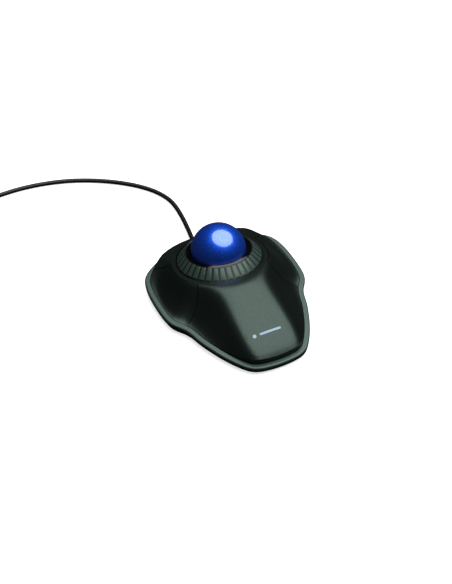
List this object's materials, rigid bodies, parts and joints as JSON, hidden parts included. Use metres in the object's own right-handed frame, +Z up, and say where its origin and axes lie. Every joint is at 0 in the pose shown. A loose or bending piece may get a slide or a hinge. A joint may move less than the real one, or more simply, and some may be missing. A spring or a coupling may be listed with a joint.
{
  "type": "trackball mouse",
  "caption": "Desktop trackball mouse with a large top ball, a ribbed scroll ring round it, two wide side buttons, a palm rest and a cord with a plug.",
  "frame": {"origin": "under the middle of the body, on the surface that the feet stand on", "axes": "+Z up, +Y away from the user towards the cord, +X to the right"},
  "size_m": [0.2283, 0.3252, 0.0498],
  "materials": {
    "satin_cover": "satin dark grey-green paint",
    "rim_plastic": "satin grey-green plastic",
    "mark_paint": "pale printed mark",
    "black_plastic": "fine textured black",
    "slide_plastic": "white slippery plastic",
    "gloss_black": "polished black",
    "bearing_ceramic": "polished ceramic",
    "circuit_board": "green solder mask",
    "clear_lens": "clear",
    "chip_epoxy": "matt epoxy",
    "led_epoxy": "tinted clear epoxy",
    "cord_jacket": "soft black jacket",
    "tie_plastic": "black",
    "plug_rubber": "moulded black",
    "plug_steel": "nickel plated",
    "screw_steel": "zinc plated",
    "foot_rubber": "matt",
    "label_film": "silver film, blank",
    "switch_body": "moulded black",
    "ring_plastic": "satin grey-green plastic",
    "ball_blue": "polished deep blue"
  },
  "bodies": {
    "base": {"top_cover": "satin_cover", "palm_mark": "mark_paint", "rim_band": "rim_plastic", "base_tray": "black_plastic", "ring_guide": "slide_plastic", "ball_cup": "gloss_black", "ball_collar": "gloss_black", "support_bearings": "bearing_ceramic", "main_board": "circuit_board", "ring_photo_interrupter": "black_plastic", "ring_sensor_board": "circuit_board", "sensor_lens": "clear_lens", "optical_sensor": "chip_epoxy", "sensor_led": "led_epoxy", "sensor_board": "circuit_board", "controller_chip": "chip_epoxy", "board_components": "chip_epoxy", "cable_connector": "slide_plastic", "inner_leads": "cord_jacket", "strain_relief": "cord_jacket", "cord": "cord_jacket", "cord_coil": "cord_jacket", "cord_tail": "cord_jacket", "cable_tie": "tie_plastic", "usb_plug_body": "plug_rubber", "usb_plug_shell": "plug_steel", "usb_contacts": "slide_plastic", "case_screws": "screw_steel", "board_screws": "screw_steel", "rubber_feet": "foot_rubber", "rating_label": "label_film", "left_button_pin": "screw_steel", "right_button_pin": "screw_steel", "left_switch_body": "switch_body", "right_switch_body": "switch_body"},
    "scroll_ring": {"scroll_ring_grip": "ring_plastic", "ring_carrier": "black_plastic", "ring_encoder_wheel": "black_plastic"},
    "ball_inner": {"ball_core": "ball_blue"},
    "ball_outer": {"ball_shell": "ball_blue"},
    "left_button": {"left_button": "satin_cover"},
    "right_button": {"right_button": "satin_cover"},
    "left_plunger": {"left_switch_plunger": "slide_plastic"},
    "right_plunger": {"right_switch_plunger": "slide_plastic"}
  },
  "joints": [
    {"name": "scroll_ring_turn", "type": "hinge", "parent": "base", "child": "scroll_ring", "pos_m": [0, 0.0312, 0.0298], "axis": [0, 0.1891, 0.982], "continuous": true},
    {"name": "ball_roll_forward", "type": "hinge", "parent": "base", "child": "ball_inner", "pos_m": [0, 0.0312, 0.0298], "axis": [1, 0, 0], "continuous": true},
    {"name": "ball_roll_sideways", "type": "hinge", "parent": "ball_inner", "child": "ball_outer", "pos_m": [0, 0.0312, 0.0298], "axis": [0, 1, 0], "continuous": true},
    {"name": "left_button_press", "type": "hinge", "parent": "base", "child": "left_button", "pos_m": [-0.0385, 0.04, 0.0086], "axis": [1, 0, 0], "range_deg": [0, 0.9], "stiffness_Nm_per_rad": 1.5, "springref_deg": -0.34},
    {"name": "right_button_press", "type": "hinge", "parent": "base", "child": "right_button", "pos_m": [0.0385, 0.04, 0.0086], "axis": [1, 0, 0], "range_deg": [0, 0.9], "stiffness_Nm_per_rad": 1.5, "springref_deg": -0.34},
    {"name": "left_switch_travel", "type": "slide", "parent": "base", "child": "left_plunger", "axis": [0, 0, -1], "range_m": [0, 0.0005]},
    {"name": "right_switch_travel", "type": "slide", "parent": "base", "child": "right_plunger", "axis": [0, 0, -1], "range_m": [0, 0.0005]}
  ],
  "couplings": [
    {"joint": "left_switch_travel", "follows": "left_button_press", "m_per_rad": 0.0312},
    {"joint": "right_switch_travel", "follows": "right_button_press", "m_per_rad": 0.0312}
  ]
}
